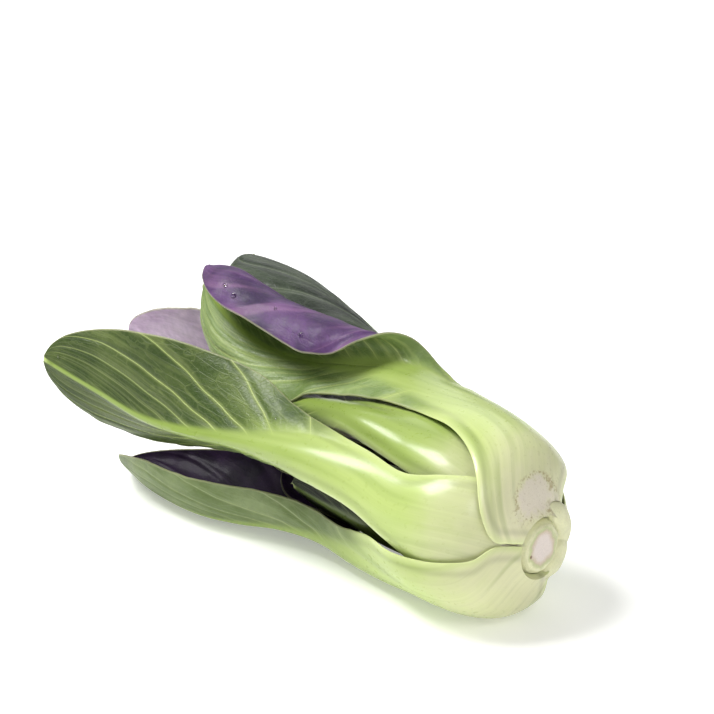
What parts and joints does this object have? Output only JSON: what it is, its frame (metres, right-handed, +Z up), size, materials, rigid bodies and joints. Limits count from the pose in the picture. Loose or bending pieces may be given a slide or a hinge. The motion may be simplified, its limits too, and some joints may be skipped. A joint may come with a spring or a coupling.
{
  "type": "bok choy",
  "caption": "Whole head of purple-tinged bok choy lying on its side: fleshy pale green stalks clasped into a bulb at the cut stem, opening into thin veined leaf blades.",
  "frame": {"origin": "centre of the bounding box's bottom face, on the surface the head lies on", "axes": "+X from the leaf tips towards the cut stem, along the head; +Z up; -Y is the side with the front leaf"},
  "size_m": [0.226, 0.1027, 0.0939],
  "materials": {
    "stem": null,
    "outer_leaf": null,
    "inner_leaf": null
  },
  "bodies": {
    "root": {"stem_base": "stem", "leaf_top": "outer_leaf", "leaf_bottom": "outer_leaf", "leaf_front": "outer_leaf", "leaf_back": "outer_leaf", "inner_leaf_top": "inner_leaf", "inner_leaf_back": "inner_leaf", "inner_leaf_front": "inner_leaf", "inner_leaf_bottom": "inner_leaf", "heart_leaf_1": "inner_leaf", "heart_leaf_2": "inner_leaf", "heart_leaf_3": "inner_leaf"}
  },
  "joints": []
}
